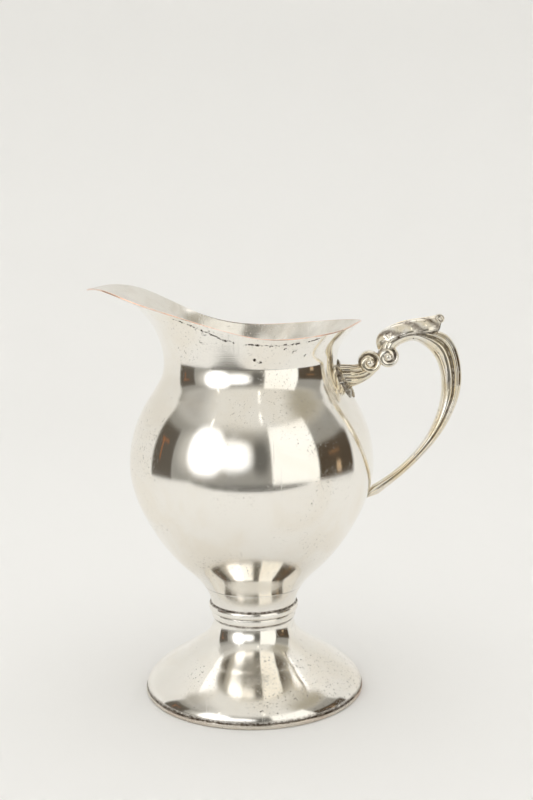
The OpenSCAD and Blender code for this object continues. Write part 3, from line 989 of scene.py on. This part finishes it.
def card(name, az, el, radius, colour, strength=1.0, soft=(0, 0, 0, 0), blob=0.0):
    """A patch of the room, given by its ranges of azimuth and elevation, seen only in reflections.
    Soft is how many degrees each edge takes to fade: left, right, bottom, top. With blob, the patch
    is a rounded spot that fades over that part of its reach."""
    cells = 60
    size = (az[1] - az[0], el[1] - el[0])
    verts, cover = [], []
    for i, j in np.ndindex(cells + 1, cells + 1):
        u, v = i / cells, j / cells
        verts.append(CENTRE + toward(az[0] + u * size[0], el[0] + v * size[1]) * radius)
        cover.append(card_cover(u, v, size, soft, blob))
    reflected_patch(name, verts, cover, colour, strength)


def dark_mat():
    """The room's darker floor beyond the paper's straight front edge, seen only in reflections."""
    turn = Matrix.Rotation(VIEW_TURN, 3, "Z")
    cells, half, front, back = 40, 1.0, 0.52, 1.02
    verts, cover = [], []
    for i, j in np.ndindex(cells + 1, cells + 1):
        y = front + (back - front) * (j / cells) ** 2
        verts.append(turn @ Vector((-half + 2 * half * i / cells, -y, 0.002)))
        cover.append(float(smooth(y, front, front + 0.02)))
    reflected_patch("room_floor", verts, cover, (0.18, 0.175, 0.16))


def build_studio():
    """The paper sweep, the room that shows in the reflections, and the soft light."""
    build_cove()
    dark_mat()
    # the room's own tones
    card("room_wall", (-103, 103), (-8.2, 60), 0.99, (0.33, 0.32, 0.29), soft=(1, 1, 0, 20))
    card("ceiling", (-110, 110), (31, 89), 0.975, (0.80, 0.78, 0.725), soft=(8, 8, 16, 0))
    card("dark_right", (62, 106), (-8.2, 20), 0.96, (0.085, 0.065, 0.045), soft=(1, 4, 0, 3))
    card("dark_left", (-103, -75), (-8.2, 30), 0.96, (0.12, 0.105, 0.085), soft=(4, 2, 0, 5))
    # a bright card, windows with paler wall round them, and the dark gap between
    card("cream_card", (17, 62), (-8.4, 42), 0.93, (1.0, 0.985, 0.93), 1.15, soft=(0.5, 0.8, 0, 0.8))
    card("window_left", (-64, -22), (-6, 43), 0.94, (1, 1, 1), 1.9, blob=0.42)
    card("wall_pale", (-78, -14), (-8, 40), 0.965, (0.62, 0.60, 0.55), blob=0.5)
    card("window_mid", (-38, 5), (-1, 35), 0.95, (1, 1, 0.99), 1.4, blob=0.5)
    card("gap_dark", (-2, 18), (-6, 36), 0.957, (0.15, 0.145, 0.13), blob=0.6)
    # shelves in the dark corners
    card("shelf_a", (-95, -84), (15.5, 17.2), 0.95, (0.42, 0.17, 0.07), soft=(0.5, 0.5, 0.4, 0.4))
    card("shelf_b", (-92, -90.5), (3, 16), 0.95, (0.42, 0.17, 0.07), soft=(0.4, 0.4, 0.4, 0.4))
    card("shelf_c", (74, 88), (8.5, 9.8), 0.95, (0.50, 0.26, 0.12), soft=(0.5, 0.5, 0.4, 0.4))
    card("shelf_d", (81, 87), (-5, 2), 0.95, (0.62, 0.45, 0.28), soft=(0.5, 0.5, 0.4, 0.4))
    # darker ceiling to either side, and two narrow lamps
    card("ceiling_left", (-112, -40), (33, 62), 0.955, (0.46, 0.445, 0.41), soft=(10, 34, 10, 20))
    card("ceiling_right", (38, 112), (33, 72), 0.955, (0.42, 0.39, 0.315), soft=(30, 10, 10, 24))
    card("lamp_right", (10.3, 13.7), (44, 56), 0.9, (1, 0.98, 0.92), 2.6, soft=(1.5, 1.5, 6, 6))
    card("lamp_left", (-47.5, -44.5), (37, 48), 0.9, (1, 0.98, 0.92), 2.2, soft=(1.5, 1.5, 5, 5))

    world = bpy.data.worlds.new("studio")
    bpy.context.scene.world = world
    world.use_nodes = True
    sky = world.node_tree.nodes["Background"]
    sky.inputs["Color"].default_value = (1.0, 0.995, 0.98, 1)
    sky.inputs["Strength"].default_value = 1.4

    lamp = bpy.data.lights.new("soft_key", "AREA")
    lamp.shape, lamp.size, lamp.energy = "DISK", 1.4, 0.6
    key = bpy.data.objects.new("soft_key", lamp)
    key.location = CENTRE + toward(-40, 50) * 1.2
    key.rotation_mode = "QUATERNION"
    key.rotation_quaternion = (CENTRE - key.location).to_track_quat("-Z", "Y")
    key.visible_glossy = False
    bpy.context.scene.collection.objects.link(key)


def build_camera():
    distance, height = 0.66085, 0.27699
    pitch, yaw, roll = math.radians(8.4447), math.radians(0.8024), math.radians(-0.5968)
    data = bpy.data.cameras.new("camera")
    data.lens, data.sensor_width = 50, 36
    camera = bpy.data.objects.new("camera", data)
    turn = Matrix.Rotation(VIEW_TURN, 4, "Z")
    aim = (Matrix.Rotation(VIEW_TURN - yaw, 4, "Z") @ Matrix.Rotation(math.pi / 2 - pitch, 4, "X")
           @ Matrix.Rotation(roll, 4, "Z"))
    camera.matrix_world = Matrix.Translation(turn @ Vector((0, -distance, height))) @ aim
    bpy.context.scene.collection.objects.link(camera)
    bpy.context.scene.camera = camera


build_camera()
build_studio()
skins = build_materials()
pieces = [
    (build_body(), "body"),
    (build_stem_collar(), "turned"),
    (build_bead("upper_bead_ring", "upper_bead", RING_Z + BEAD_H,
                STEM_R - 0.4, STEM_R + 0.25, STEM_R + 1.5), "turned"),
    (build_bead("lower_bead_ring", "lower_bead", RING_Z,
                FOOT_TOP_R - 0.2, STEM_R - 0.7, STEM_R), "turned"),
    (build_foot_shell(), "foot"),
    (build_foot_rim(), "edge"),
    (build_leaf_plate(), "dark"),
    (build_arm(), "cast"),
    (build_grip(), "cast"),
    (build_thumb_leaf(), "cast"),
]
for piece, skin in pieces:
    piece.data.materials.append(skins[skin])
bpy.context.scene.view_settings.view_transform = "Standard"
